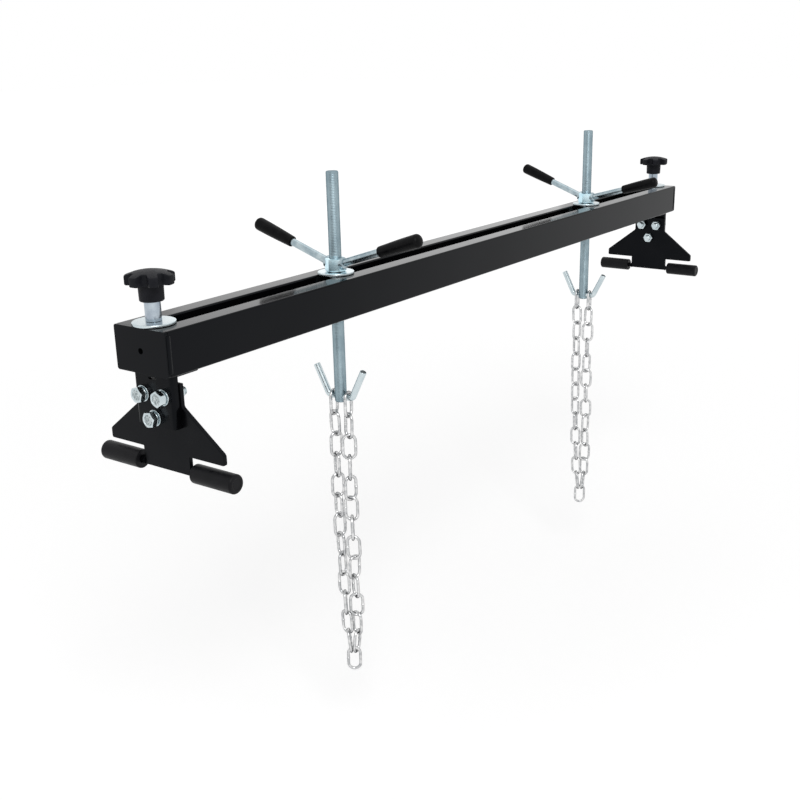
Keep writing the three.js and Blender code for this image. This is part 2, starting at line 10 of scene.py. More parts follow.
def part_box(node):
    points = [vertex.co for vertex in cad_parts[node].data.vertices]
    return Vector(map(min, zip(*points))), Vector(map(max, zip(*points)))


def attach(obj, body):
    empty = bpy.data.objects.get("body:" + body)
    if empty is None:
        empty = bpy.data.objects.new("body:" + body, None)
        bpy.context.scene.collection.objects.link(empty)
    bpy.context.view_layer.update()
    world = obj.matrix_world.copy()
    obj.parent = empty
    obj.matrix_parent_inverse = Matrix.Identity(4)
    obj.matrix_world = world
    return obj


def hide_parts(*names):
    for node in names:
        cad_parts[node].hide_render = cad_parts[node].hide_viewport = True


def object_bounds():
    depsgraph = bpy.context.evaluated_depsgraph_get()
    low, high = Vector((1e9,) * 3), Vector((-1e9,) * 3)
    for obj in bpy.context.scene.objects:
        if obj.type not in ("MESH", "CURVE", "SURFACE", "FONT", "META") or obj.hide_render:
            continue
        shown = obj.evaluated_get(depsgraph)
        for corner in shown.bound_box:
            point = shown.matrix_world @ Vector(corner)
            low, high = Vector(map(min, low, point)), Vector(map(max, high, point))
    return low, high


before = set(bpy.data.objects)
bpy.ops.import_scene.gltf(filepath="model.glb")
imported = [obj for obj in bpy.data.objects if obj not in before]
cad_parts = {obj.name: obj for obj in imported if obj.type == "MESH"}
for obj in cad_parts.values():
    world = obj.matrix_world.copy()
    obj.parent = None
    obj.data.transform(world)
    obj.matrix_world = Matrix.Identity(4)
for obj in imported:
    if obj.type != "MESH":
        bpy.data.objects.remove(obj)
cad_box = [list(corner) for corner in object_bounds()]


# Beam tubes
# Two drawn steel tubes, 50 x 25 mm, lie side by side with the slot between them. Their corners are
# rounded by the drawing, and they are powder coated in gloss black, with a faint orange peel.
tube_wall = 0.0025
tube_corner = 0.0023
tube_corner_steps = 6
smooth_below = radians(32)
colour_span = 0.35, 0.65
roughness_span = 0.3, 0.7


def uneven_surface():
    """Patches of two colours and two roughnesses, over a fine grain that stands up from the surface."""
    group = bpy.data.node_groups.new("uneven_surface", "ShaderNodeTree")
    for name, kind, start in (
        ("First Colour", "NodeSocketColor", (0.5, 0.5, 0.5, 1)),
        ("Second Colour", "NodeSocketColor", (0.6, 0.6, 0.6, 1)),
        ("Patch Scale", "NodeSocketFloat", 20),
        ("Least Roughness", "NodeSocketFloat", 0.2),
        ("Most Roughness", "NodeSocketFloat", 0.4),
        ("Grain Scale", "NodeSocketFloat", 500),
        ("Grain Height", "NodeSocketFloat", 0.00002),
    ):
        socket = group.interface.new_socket(name, in_out="INPUT", socket_type=kind)
        socket.default_value = start
    for name, kind in (
        ("Colour", "NodeSocketColor"),
        ("Roughness", "NodeSocketFloat"),
        ("Normal", "NodeSocketVector"),
    ):
        group.interface.new_socket(name, in_out="OUTPUT", socket_type=kind)
    nodes, links = group.nodes, group.links
    given, made = nodes.new("NodeGroupInput"), nodes.new("NodeGroupOutput")
    place = nodes.new("ShaderNodeTexCoord")
    patches, grain = nodes.new("ShaderNodeTexNoise"), nodes.new("ShaderNodeTexNoise")
    patches.inputs["Detail"].default_value = 4
    grain.inputs["Detail"].default_value = 2
    for noise, scale in ((patches, "Patch Scale"), (grain, "Grain Scale")):
        links.new(place.outputs["Object"], noise.inputs["Vector"])
        links.new(given.outputs[scale], noise.inputs["Scale"])
    spread, rough = nodes.new("ShaderNodeMapRange"), nodes.new("ShaderNodeMapRange")
    for ramp, (least, most) in ((spread, colour_span), (rough, roughness_span)):
        ramp.inputs["From Min"].default_value = least
        ramp.inputs["From Max"].default_value = most
        links.new(patches.outputs["Fac"], ramp.inputs["Value"])
    colour = nodes.new("ShaderNodeMix")
    colour.data_type = "RGBA"
    links.new(spread.outputs["Result"], colour.inputs["Factor"])
    links.new(given.outputs["First Colour"], colour.inputs["A"])
    links.new(given.outputs["Second Colour"], colour.inputs["B"])
    links.new(colour.outputs["Result"], made.inputs["Colour"])
    links.new(given.outputs["Least Roughness"], rough.inputs["To Min"])
    links.new(given.outputs["Most Roughness"], rough.inputs["To Max"])
    links.new(rough.outputs["Result"], made.inputs["Roughness"])
    bump = nodes.new("ShaderNodeBump")
    links.new(grain.outputs["Fac"], bump.inputs["Height"])
    links.new(given.outputs["Grain Height"], bump.inputs["Distance"])
    links.new(bump.outputs["Normal"], made.inputs["Normal"])
    return group


surface = uneven_surface()


def finish(name, first, second, patch_scale, roughness, grain_scale, grain_height, **constants):
    """A material whose colour, roughness and relief come from the uneven surface."""
    material = bpy.data.materials.new(name)
    material.use_nodes = True
    nodes, links = material.node_tree.nodes, material.node_tree.links
    shader = nodes["Principled BSDF"]
    for socket, value in constants.items():
        shader.inputs[socket.replace("_", " ")].default_value = value
    group = nodes.new("ShaderNodeGroup")
    group.node_tree = surface
    group.inputs["First Colour"].default_value = (*first, 1)
    group.inputs["Second Colour"].default_value = (*second, 1)
    for socket, value in (
        ("Patch Scale", patch_scale),
        ("Least Roughness", roughness[0]),
        ("Most Roughness", roughness[1]),
        ("Grain Scale", grain_scale),
        ("Grain Height", grain_height),
    ):
        group.inputs[socket].default_value = value
    links.new(group.outputs["Colour"], shader.inputs["Base Color"])
    links.new(group.outputs["Roughness"], shader.inputs["Roughness"])
    links.new(group.outputs["Normal"], shader.inputs["Normal"])
    material.diffuse_color = (*first, 1)
    return material


gloss_black = finish("gloss_black_powder_coat", (0.0012, 0.0012, 0.0016), (0.0024, 0.0024, 0.003),
                     9, (0.08, 0.15), 320, 0.00001, Specular_IOR_Level=0.1,
                     Specular_Tint=(0.8, 0.88, 1, 1))


def put_on(mesh, name, body, slot, material, *nodes):
    """Makes an object of a finished mesh, which rides on its body and stands for its CAD nodes."""
    for face in mesh.faces:
        face.smooth = True
    for edge in mesh.edges:
        edge.smooth = edge.calc_face_angle(0) < smooth_below
    data = bpy.data.meshes.new(name)
    mesh.to_mesh(data)
    mesh.free()
    data.materials.append(material)
    piece = bpy.data.objects.new(name, data)
    bpy.context.scene.collection.objects.link(piece)
    shading = piece.modifiers.new("even_shading", "WEIGHTED_NORMAL")
    shading.keep_sharp = True
    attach(piece, body)
    if nodes:
        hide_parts(*nodes)
    return piece


def block(low, high):
    """A plain block between two corners."""
    mesh = bmesh.new()
    size = high - low
    bmesh.ops.create_cube(mesh, size=1, matrix=Matrix.Translation((low + high) / 2)
                          @ Matrix.Diagonal((*size, 1)))
    return mesh


def soften(mesh, edges, width, steps):
    """Rounds edges over by a small radius."""
    bmesh.ops.bevel(mesh, geom=edges, affect="EDGES", offset=width, offset_type="OFFSET",
                    segments=steps, profile=0.5, material=-1, clamp_overlap=True)


def hard_edges(mesh, angle=radians(50)):
    """The edges where two faces meet at more than an angle."""
    return [edge for edge in mesh.edges if edge.calc_face_angle(0) > angle]


for place in ("front", "rear"):
    low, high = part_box(f"{place}_tube")
    tube = block(low, high)
    ends = [face for face in tube.faces if abs(face.normal.x) > 0.9]
    bmesh.ops.delete(tube, geom=ends, context="FACES_ONLY")
    soften(tube, [edge for edge in tube.edges if len(edge.link_faces) == 2], tube_corner, tube_corner_steps)
    bmesh.ops.solidify(tube, geom=tube.faces[:], thickness=tube_wall)
    put_on(tube, f"{place}_beam_tube", "beam", "black_paint", gloss_black, f"{place}_tube")


# End plates
# A 4 mm steel plate closes each end of the beam. It is welded all round to both tubes, dressed to a
# rounded corner and coated with them, and has a small vent hole in its middle.
plate_corner = 0.003
plate_rounding = 0.0026
plate_rounding_steps = 5
vent_radius = 0.0035
vent_steps = 32
rim_rounding = 0.0006
corner_steps = 6

# XY of a flat piece become Y and Z, and its thickness runs along X
stood_across = Matrix(((0, 0, 1, 0), (1, 0, 0, 0), (0, 1, 0, 0), (0, 0, 0, 1)))


def moved(mesh, matrix):
    """Lays a mesh where a matrix puts it."""
    bmesh.ops.transform(mesh, matrix=matrix, verts=mesh.verts[:])
    return mesh


def points_of(items):
    """The points among what a mesh operator gave back."""
    return [item for item in items if isinstance(item, bmesh.types.BMVert)]


low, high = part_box("left_end_plate")
plate = bmesh.new()
middle = Matrix.Translation((0, (low.z + high.z) / 2, 0))
bmesh.ops.create_grid(plate, x_segments=1, y_segments=1, size=0.5,
                      matrix=middle @ Matrix.Diagonal((high.y - low.y, high.z - low.z, 1, 1)))
bmesh.ops.bevel(plate, geom=plate.verts[:], affect="VERTICES", offset=plate_corner, offset_type="OFFSET",
                segments=corner_steps, profile=0.5, material=-1)
bmesh.ops.delete(plate, geom=plate.faces[:], context="FACES_ONLY")
bmesh.ops.create_circle(plate, segments=vent_steps, radius=vent_radius, matrix=middle)
bmesh.ops.triangle_fill(plate, use_beauty=True, edges=plate.edges[:])
raised = bmesh.ops.extrude_face_region(plate, geom=plate.faces[:])["geom"]
bmesh.ops.translate(plate, verts=points_of(raised), vec=(0, 0, high.x - low.x))
bmesh.ops.recalc_face_normals(plate, faces=plate.faces[:])
rims = hard_edges(plate)
outer_rim = [edge for edge in rims if all(vert.co.z < rim_rounding and abs(vert.co.x) > 2 * vent_radius
                                          for vert in edge.verts)]
soften(plate, outer_rim, plate_rounding, plate_rounding_steps)
soften(plate, [edge for edge in hard_edges(plate) if edge not in outer_rim], rim_rounding / 2, 2)
moved(plate, Matrix.Translation((low.x, 0, 0)) @ stood_across)
for side, turn in (("left", 0), ("right", pi)):
    put_on(moved(plate.copy(), Matrix.Rotation(turn, 4, "Z")), f"{side}_beam_end", "beam", "black_paint",
           gloss_black, f"{side}_end_plate")
plate.free()


# End welds
# A bead of weld closes the seam between each end plate and the outer walls of the tubes. It stands a
# little proud and is coated with them.
bead_width = 0.006
bead_height = 0.0011
bead_inset = 0.0045
bead_sides = 16
bead_ripples = 16
bead_swell = 1.04
bead_rounding = 0.8 * bead_height


def edges_of(items):
    """The edges among what a mesh operator gave back."""
    return [item for item in items if isinstance(item, bmesh.types.BMEdge)]


def next_ring(mesh, edges):
    """Draws a ring of edges out into a new ring, and gives its points and its edges."""
    made = bmesh.ops.extrude_edge_only(mesh, edges=edges)["geom"]
    return points_of(made), edges_of(made)


def joined(*solids):
    """Several meshes as one."""
    whole = bmesh.new()
    for solid in solids:
        part = bpy.data.meshes.new("part")
        solid.to_mesh(part)
        solid.free()
        whole.from_mesh(part)
        bpy.data.meshes.remove(part)
    return whole


low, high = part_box("front_tube")
tube_face = low.y
seam_place = low.x
bead = bmesh.new()
bmesh.ops.create_circle(bead, segments=bead_sides, radius=0.5,
                        matrix=Matrix.Translation((0, 0, low.z + bead_inset))
                        @ Matrix.Diagonal((bead_width, 2 * bead_height, 1, 1)))
edges = bead.edges[:]
bmesh.ops.contextual_create(bead, geom=edges)
run = (high.z - low.z - 2 * bead_inset) / (2 * bead_ripples)
for step in range(2 * bead_ripples):
    ring, edges = next_ring(bead, edges)
    bmesh.ops.translate(bead, verts=ring, vec=(0, 0, run))
    swell = bead_swell if step % 2 else 1 / bead_swell
    bmesh.ops.scale(bead, vec=(swell, swell, 1), verts=ring)
bmesh.ops.contextual_create(bead, geom=edges)
bmesh.ops.recalc_face_normals(bead, faces=bead.faces[:])
soften(bead, hard_edges(bead), bead_rounding, 3)
for side, end in (("left", 1), ("right", -1)):
    seams = [moved(bead.copy(), Matrix.Translation((end * seam_place, way * tube_face, 0)))
             for way in (1, -1)]
    put_on(joined(*seams), f"{side}_end_weld", "beam", "black_paint", gloss_black)
bead.free()


# Spindle rods
# Each rod is M16 screwed steel, cut to 300 mm and chamfered at both ends, with a cross hole for the
# hook bar near its foot. It is zinc plated after rolling, which leaves it a blue grey.
rod_pitch = 0.002
rod_thread_depth = 0.00025
thread_steps = 24
thread_crest = 0.32, 0.68
rod_chamfer = 0.0012
merge_gap = 1e-6
finest_gap = 1e-7
rod_zinc = finish("rod_zinc", (0.25, 0.33, 0.37), (0.32, 0.41, 0.45), 60, (0.34, 0.42), 900, 0.00001,
                  Metallic=1, Specular_Tint=(0.3, 0.35, 0.38, 1))


def screwed(radius, depth, pitch, bottom, top, chamfer):
    """A screwed bar on Z: a turn of thread is wound and stacked up, cut off at both ends and closed."""
    bar = bmesh.new()
    start = bottom - 1.5 * pitch
    crest_start, crest_end = thread_crest
    profile = [(radius - depth, 0), (radius, crest_start), (radius, crest_end), (radius - depth, 1)]
    points = [bar.verts.new((r, 0, start + share * pitch)) for r, share in profile]
    for a, b in zip(points, points[1:]):
        bar.edges.new((a, b))
    bmesh.ops.spin(bar, geom=bar.verts[:] + bar.edges[:], cent=(0, 0, 0), axis=(0, 0, 1),
                   dvec=(0, 0, pitch / thread_steps), angle=tau, steps=thread_steps, use_merge=False)
    turns = 1
    while start + turns * pitch < top + pitch:
        stacked = bmesh.ops.duplicate(bar, geom=bar.verts[:] + bar.edges[:] + bar.faces[:])["geom"]
        bmesh.ops.translate(bar, verts=points_of(stacked), vec=(0, 0, turns * pitch))
        turns *= 2
    bmesh.ops.remove_doubles(bar, verts=bar.verts[:], dist=pitch / 200)
    for height, up in ((bottom, -1), (top, 1)):
        bmesh.ops.bisect_plane(bar, geom=bar.verts[:] + bar.edges[:] + bar.faces[:], dist=finest_gap,
                               plane_co=(0, 0, height), plane_no=(0, 0, up), clear_outer=True)
        rim = [edge for edge in bar.edges if len(edge.link_faces) == 1
               and all(abs(vert.co.z - height) < merge_gap for vert in edge.verts)]
        bmesh.ops.contextual_create(bar, geom=rim)
    for vert in bar.verts:
        near_end = min(vert.co.z - bottom, top - vert.co.z)
        reach = vert.co.xy.length
        most = radius - chamfer + near_end
        if near_end < chamfer and reach > most:
            vert.co.xy *= most / reach
    bmesh.ops.recalc_face_normals(bar, faces=bar.faces[:])
    return bar


low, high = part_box("left_spindle_rod")
rod_radius = (high.x - low.x) / 2
rod = screwed(rod_radius, rod_thread_depth, rod_pitch, low.z, high.z, rod_chamfer)
spindle_place = {}
for side in ("left", "right"):
    low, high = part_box(f"{side}_spindle_rod")
    spindle_place[side] = Matrix.Translation(((low.x + high.x) / 2, 0, 0))
    put_on(moved(rod.copy(), spindle_place[side]), f"{side}_screwed_rod", f"{side}_spindle", "rod_steel",
           rod_zinc, f"{side}_spindle_rod")
rod.free()


# Hook bars
# A 9 mm round bar passes through the foot of each rod and is bent up at both ends, so that the chain
# can't slide off. It is zinc plated bright.
hook_bend_start = 0.0155
hook_bend_radius = 0.006
hook_bend_steps = 10
hook_end_rounding = 0.0008
wire_steps = 20
bright_zinc = finish("bright_zinc", (0.52, 0.6, 0.63), (0.62, 0.69, 0.71), 80, (0.2, 0.3), 700, 0.00001,
                     Metallic=1)


def round_section(mesh, radius, matrix, steps):
    """A ring of edges, the section of a round bar, and where it lies."""
    ring = bmesh.ops.create_circle(mesh, segments=steps, radius=radius, matrix=matrix)["verts"]
    return ring + list(dict.fromkeys(edge for vert in ring for edge in vert.link_edges))


def run_on(mesh, section, along):
    """Runs a bar's section straight on."""
    made = bmesh.ops.extrude_edge_only(mesh, edges=edges_of(section))["geom"]
    bmesh.ops.translate(mesh, verts=points_of(made), vec=along)
    return [item for item in made if not isinstance(item, bmesh.types.BMFace)]


def bend_on(mesh, section, centre, axis, angle, steps):
    """Bends a bar's section round a centre."""
    made = bmesh.ops.spin(mesh, geom=section, cent=centre, axis=axis, dvec=(0, 0, 0), angle=angle,
                          steps=steps, use_merge=False)
    return made["geom_last"]


def cap(mesh, section, rounding):
    """Closes a bar's end with a small round on its rim."""
    edges = edges_of(section)
    bmesh.ops.contextual_create(mesh, geom=edges)
    bmesh.ops.recalc_face_normals(mesh, faces=mesh.faces[:])
    soften(mesh, edges, rounding, 3)


low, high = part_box("left_hook_bar")
hook_radius = (high.x - low.x) / 2
hook_z = low.z + hook_radius
# The horns' lean is found in a few rounds, from how wide and how high the bar reaches
lean = radians(60)
for _ in range(8):
    away = high.y - hook_radius * sin(lean) - hook_bend_start
    up = high.z - hook_z - hook_radius * cos(lean) - hook_bend_radius
    lean = atan2(up, away) + atan2(hook_bend_radius, sqrt(away**2 + up**2 - hook_bend_radius**2))
straight = sqrt(away**2 + up**2 - hook_bend_radius**2)
hook = bmesh.new()
for way in (1, -1):
    section = round_section(hook, hook_radius, Matrix.Translation((0, 0, hook_z))
                            @ Matrix.Rotation(pi / 2, 4, "X"), wire_steps)
    section = run_on(hook, section, (0, way * hook_bend_start, 0))
    centre = (0, way * hook_bend_start, hook_z + hook_bend_radius)
    section = bend_on(hook, section, centre, (1, 0, 0), way * lean, hook_bend_steps)
    section = run_on(hook, section, (0, way * straight * cos(lean), straight * sin(lean)))
    cap(hook, section, hook_end_rounding)
bmesh.ops.remove_doubles(hook, verts=hook.verts[:], dist=merge_gap)
bmesh.ops.recalc_face_normals(hook, faces=hook.faces[:])
for side in ("left", "right"):
    put_on(moved(hook.copy(), spindle_place[side]), f"{side}_hook", f"{side}_spindle", "zinc",
           bright_zinc, f"{side}_hook_bar")
hook.free()


# Large washers
# Punched and zinc plated steel washers, 47 mm wide and 3 mm thick, spread the load of each lifting
# nut and each clamp over both tubes. The punch leaves a rounded upper rim.
washer_rim = 0.0011
rod_clearance = 0.0008
round_steps = 72


def turned(profile, closed=False, steps=round_steps):
    """Spins a profile of (radius, height) points round Z into a solid."""
    solid = bmesh.new()
    points = [solid.verts.new((radius, 0, height)) for radius, height in profile]
    followers = points[1:] + points[:1] if closed else points[1:]
    for a, b in zip(points, followers):
        solid.edges.new((a, b))
    bmesh.ops.spin(solid, geom=solid.verts[:] + solid.edges[:], cent=(0, 0, 0), axis=(0, 0, 1),
                   dvec=(0, 0, 0), angle=tau, steps=steps, use_merge=True)
    bmesh.ops.remove_doubles(solid, verts=solid.verts[:], dist=finest_gap)
    bmesh.ops.recalc_face_normals(solid, faces=solid.faces[:])
    return solid


def rounded_ring(inner, outer, bottom, top, rim, steps=4):
    """A ring whose outer rims are rounded, more on top than below."""
    profile = [(inner, top), (inner, bottom)]
    for radius, centre, first in ((rim / 2, bottom + rim / 2, -pi / 2), (rim, top - rim, 0)):
        for step in range(steps + 1):
            turn = first + step * pi / 2 / steps
            profile.append((outer - radius + radius * cos(turn), centre + radius * sin(turn)))
    return turned(profile, closed=True)


for side in ("left", "right"):
    low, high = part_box(f"{side}_thrust_washer")
    washer = rounded_ring(rod_radius + rod_clearance, high.y, low.z, high.z, washer_rim)
    put_on(moved(washer, spindle_place[side]), f"{side}_lifting_washer", f"{side}_carriage", "zinc",
           bright_zinc, f"{side}_thrust_washer")


# Handle nuts
# A long hexagon nut with a 10 mm round bar welded to each of two opposite flats, both sloping up
# to their grips. A bead of weld rings each bar's root, and nut and bars are zinc plated together.
nut_flats = 0.024
nut_height = 0.017
nut_gap = 0.0003
screw_clearance = 0.0004
handle_length = 0.140
handle_root = 0.007
handle_radius = 0.005
handle_turns = {"left": radians(89), "right": radians(86)}
handle_rises = {"left": {"rear": 0.045, "front": 0.043}, "right": {"rear": 0.048, "front": 0.037}}
weld_bead = 0.0016
weld_rise = 1.6 * weld_bead
weld_start = 0.001
bar_sunk = 0.0015
# Nut and bars are one plating in two copies: the nut's zinc is painted lighter as painted light from the
# front, and the bars' zinc is darker as painted shade.
nut_zinc_painted_light = finish("nut_zinc_painted_light", (0.52, 0.77, 0.88), (0.7, 0.9, 0.97), 60, (0.16, 0.26), 600, 0.00001,
                  Metallic=1)
bar_zinc_painted_shade = finish("bar_zinc_painted_shade", (0.3, 0.38, 0.42), (0.48, 0.56, 0.59), 90, (0.22, 0.32), 700, 0.00001,
                  Metallic=1)
grip_length = 0.065
grip_wall = 0.006
grip_clearance = 0.0003
hexagon_cuts = 9
chamfer_slope = tan(radians(30))
chamfer_start = 0.96
dish_rim, dish_floor = 0.86, 0.8


def hexagon(flats, bottom, top, both=True, bore=0.0, dish=0.0):
    """A hexagon on Z whose corners are turned off to a cone at its top, and at its foot too if both.
    A bore goes right through it, and a dish is sunk in its top as a second material."""
    solid = bmesh.new()
    corner = flats / 2 / cos(pi / 6)
    bmesh.ops.create_circle(solid, segments=6, radius=corner)
    bmesh.ops.subdivide_edges(solid, edges=solid.edges[:], cuts=hexagon_cuts, use_grid_fill=False)
    face_radius = flats / 2 * chamfer_start
    lower = solid.verts[:]
    upper, upper_rim = next_ring(solid, solid.edges[:])
    for vert in upper:
        vert.co.z = top - (vert.co.xy.length - face_radius) * chamfer_slope
    for vert in lower:
        vert.co.z = bottom + ((vert.co.xy.length - face_radius) * chamfer_slope if both else 0)
    lower_set = set(lower)
    lower_rim = [edge for edge in solid.edges if edge.verts[0] in lower_set and edge.verts[1] in lower_set]
    for rim, height, chamfered in ((upper_rim, top, True), (lower_rim, bottom, both)):
        if chamfered:
            ring, rim = next_ring(solid, rim)
            for vert in ring:
                vert.co.xy *= face_radius / vert.co.xy.length
                vert.co.z = height
        inner_rings = [(bore, 0)] if bore else []
        if dish and height == top:
            inner_rings = [(face_radius * dish_rim, 0), (face_radius * dish_floor, dish)]
        for radius, drop in inner_rings:
            ring, rim = next_ring(solid, rim)
            for vert in ring:
                vert.co.xy *= radius / vert.co.xy.length
                vert.co.z = height - drop
        if not bore:
            filled = bmesh.ops.contextual_create(solid, geom=rim)["faces"]
            for face in filled:
                face.material_index = 1 if dish and height == top else 0
    if bore:
        open_edges = [edge for edge in solid.edges if len(edge.link_faces) == 1]
        bmesh.ops.bridge_loops(solid, edges=open_edges)
    bmesh.ops.recalc_face_normals(solid, faces=solid.faces[:])
    return solid


nut_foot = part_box("left_thrust_washer")[1].z + nut_gap


def along_handle(side, place):
    """Where a bar or grip that was turned on Z lies, at one side of the nut or the other."""
    turn = handle_turns[side] + (0 if place == "rear" else pi)
    return (spindle_place[side] @ Matrix.Translation((0, 0, nut_foot + handle_root))
            @ Matrix.Rotation(turn, 4, "Z")
            @ Matrix.Rotation(acos(handle_rises[side][place] / handle_length), 4, "Y"))


root, tip = nut_flats / 2 - bar_sunk, handle_length - grip_wall - grip_clearance
weld_foot = nut_flats / 2 + weld_start
profile = [(0, root), (handle_radius + 2 * weld_bead, root)]
profile += [(handle_radius + weld_bead * (1 + cos(turn)), weld_foot + weld_rise * sin(turn))
            for turn in (0, pi / 6, pi / 3, pi / 2)]
profile += [(handle_radius, weld_foot + 2 * weld_bead), (handle_radius, tip), (0, tip)]
bar = turned(profile, steps=32)
# The bars take the darker copy of the zinc, which carries painted shade.
for face in bar.faces:
    face.material_index = 1
nut = hexagon(nut_flats, nut_foot, nut_foot + nut_height, bore=rod_radius + screw_clearance)
for side in ("left", "right"):
    turned_nut = moved(nut.copy(), spindle_place[side] @ Matrix.Rotation(handle_turns[side], 4, "Z"))
    bars = [moved(bar.copy(), along_handle(side, place)) for place in ("rear", "front")]
    piece = put_on(joined(turned_nut, *bars), f"{side}_handled_nut", f"{side}_lifting_nut", "zinc",
                   nut_zinc_painted_light, f"{side}_handle_nut")
    piece.data.materials.append(bar_zinc_painted_shade)
nut.free()
bar.free()


# Grips
# Dip moulded handle grips of satin black plastic, pushed over the bars. Each swells from its mouth
# to a rounded end.
grip_mouth = 0.0072
grip_end = 0.0088
mouth_rounding = 0.0015
swell_steps, dome_steps = 12, 8
dome_length, dome_fullness = 0.62 * grip_end, 0.7
satin_black = finish("satin_black_plastic", (0.002, 0.002, 0.0025), (0.005, 0.005, 0.0055),
                     120, (0.32, 0.42), 1400, 0.00001, Specular_IOR_Level=0.07)
mouth, end = handle_length - grip_length, handle_length
bore = handle_radius + grip_clearance
profile = [(0, end - grip_wall), (bore, end - grip_wall), (bore, mouth),
           (grip_mouth - 0.8 * mouth_rounding, mouth),
           (grip_mouth - 0.2 * mouth_rounding, mouth + mouth_rounding / 3),
           (grip_mouth, mouth + mouth_rounding)]
for step in range(1, swell_steps + 1):
    swell = sin(step / swell_steps * pi / 2)
    height = mouth + mouth_rounding + step / swell_steps * (grip_length - mouth_rounding - dome_length)
    profile.append((grip_mouth + (grip_end - grip_mouth) * swell, height))
for step in range(1, dome_steps + 1):
    turn = step * pi / 2 / dome_steps
    reach = grip_end * cos(turn)**dome_fullness if step < dome_steps else 0
    profile.append((reach, end - dome_length * (1 - sin(turn))))
grip = turned(profile, steps=40)
for side in ("left", "right"):
    for place in ("rear", "front"):
        put_on(moved(grip.copy(), along_handle(side, place)), f"{side}_{place}_handle_grip",
               f"{side}_lifting_nut", "grip_plastic", satin_black, f"{side}_{place}_grip")
grip.free()


# Chains
# A loop of welded chain, 4 mm wire with long links, hangs from each hook bar: two strands of thirteen
# links share the lowest one. Each link is bent from wire, butt welded on one side and zinc plated.
wire_radius = 0.002
link_pitch = 0.0295
link_inner_width = 0.0132
link_bite = 0.0003
hook_gap = 0.0003
flex_gap = 0.0005
strand_links = 13
upper_links = 6
spread_at_hook = 0.012
spread_hanging = 0.0109
spread_lowest = 0.0036
front_twists = (-0.11, 0.26, 0.6, 0.6, 0.19, -0.22, -0.4, -0.27, 0.13, 0.32, 0.6, 0.16, -0.14)
rear_twists = (-0.11, 0.14, 0.18, 0.37, 0.28, 0.25, 0.17, 0.24, -0.12, 0, -0.4, 0.07, -0.4)
lowest_twist = -0.4
converging = (0.91, 0.85, 0.73, 0.62)
lowest_lean = Vector((0.0026, -0.0037, 0))
link_width = link_inner_width + 2 * wire_radius
link_length = link_pitch + 2 * wire_radius
link_sides = 14
link_bend_steps = 12
butt_swell = 1.12
butt_rise, butt_run = 0.02, 0.12
chain_zinc = finish("chain_zinc", (0.42, 0.43, 0.44), (0.74, 0.74, 0.74), 170, (0.08, 0.18), 800, 0.00001,
                    Metallic=1, Specular_Tint=(0, 0, 0, 1))


def chain_link(crown, heel, angle):
    """One link from its crown to its heel, its width turned to an angle from the Y axis."""
    half, straight = link_width / 2, link_length - link_width
    link = bmesh.new()
    section = round_section(link, wire_radius, Matrix.Translation((half, 0, -half - straight)), link_sides)
    # Halfway up, this side swells a little at its butt weld
    plain = straight * (0.5 - butt_rise - butt_run / 2)
    bulge = run_on(link, section, (0, 0, plain))
    for grow, share in ((butt_swell, butt_rise), (1, butt_run), (1 / butt_swell, butt_rise)):
        bulge = run_on(link, bulge, (0, 0, straight * share))
        ring = points_of(bulge)
        middle = sum((vert.co for vert in ring), Vector()) / len(ring)
        bmesh.ops.scale(link, vec=(grow, grow, 1), space=Matrix.Translation(-middle), verts=ring)
    section = run_on(link, bulge, (0, 0, plain))
    section = bend_on(link, section, (0, 0, -half), (0, -1, 0), pi, link_bend_steps)
    section = run_on(link, section, (0, 0, -straight))
    bend_on(link, section, (0, 0, -half - straight), (0, -1, 0), pi, link_bend_steps)
    bmesh.ops.remove_doubles(link, verts=link.verts[:], dist=merge_gap)
    bmesh.ops.recalc_face_normals(link, faces=link.faces[:])
    up = (crown - heel).normalized()
    width = Vector((sin(angle), cos(angle), 0))
    normal = up.cross(width).normalized()
    across = normal.cross(up)
    turn = Matrix((across, normal, up)).transposed().to_4x4()
    return moved(link, Matrix.Translation(crown) @ turn)


def heel_place(i, way):
    """Where a strand stands at the heel of each link: it turns with the shared link as it draws in."""
    rows_left = strand_links - 1 - i
    spread = spread_at_hook if i == 0 else spread_hanging
    if rows_left == 0:
        spread = spread_lowest
    elif rows_left <= len(converging):
        spread *= converging[-rows_left]
    turn = lowest_twist * pi / 2 * max(0, 1 - rows_left / len(converging))
    lean = max(0, i - upper_links + 1) / (strand_links - upper_links)
    return Vector((sin(turn), cos(turn), 0)) * way * spread + lowest_lean * lean


def strand(way, twists, top):
    """The links of one strand, and the heel of its last link."""
    links = []
    crown = Vector((0, way * spread_at_hook, top))
    for i, twist in enumerate(twists):
        heel = heel_place(i, way)
        drift = hypot(heel.x - crown.x, heel.y - crown.y)
        heel.z = crown.z - sqrt(link_length**2 - drift**2)
        square = pi / 2 if i % 2 == 0 else 0
        links.append(chain_link(crown, heel, square + twist * pi / 2))
        crown = heel + Vector((0, 0, 2 * wire_radius + (flex_gap if i == upper_links - 1 else -link_bite)))
    return links, heel


top = hook_z + hook_radius + hook_gap + wire_radius
front_links, heel = strand(-1, front_twists, top)
rear_links, _ = strand(1, rear_twists, top)
half = link_width / 2
nested = half - 2 * wire_radius + link_bite
crown = lowest_lean + Vector((0, 0, heel.z + half - sqrt(nested**2 - spread_lowest**2)))
lowest = chain_link(crown, crown - Vector((0, 0, link_length)), lowest_twist * pi / 2)
for name, body, links, node in (
    ("front_chain", "chain_upper", front_links[:upper_links], "upper_chain_front"),
    ("rear_chain", "chain_upper", rear_links[:upper_links], "upper_chain_rear"),
    ("chain_end", "chain_lower", front_links[upper_links:] + rear_links[upper_links:] + [lowest],
     "lower_chain"),
):
    stretch = joined(*links)
    for side in ("left", "right"):
        put_on(moved(stretch.copy(), spindle_place[side]), f"{side}_{name}", f"{side}_{body}",
               "chain_steel", chain_zinc, f"{side}_{node}")
    stretch.free()


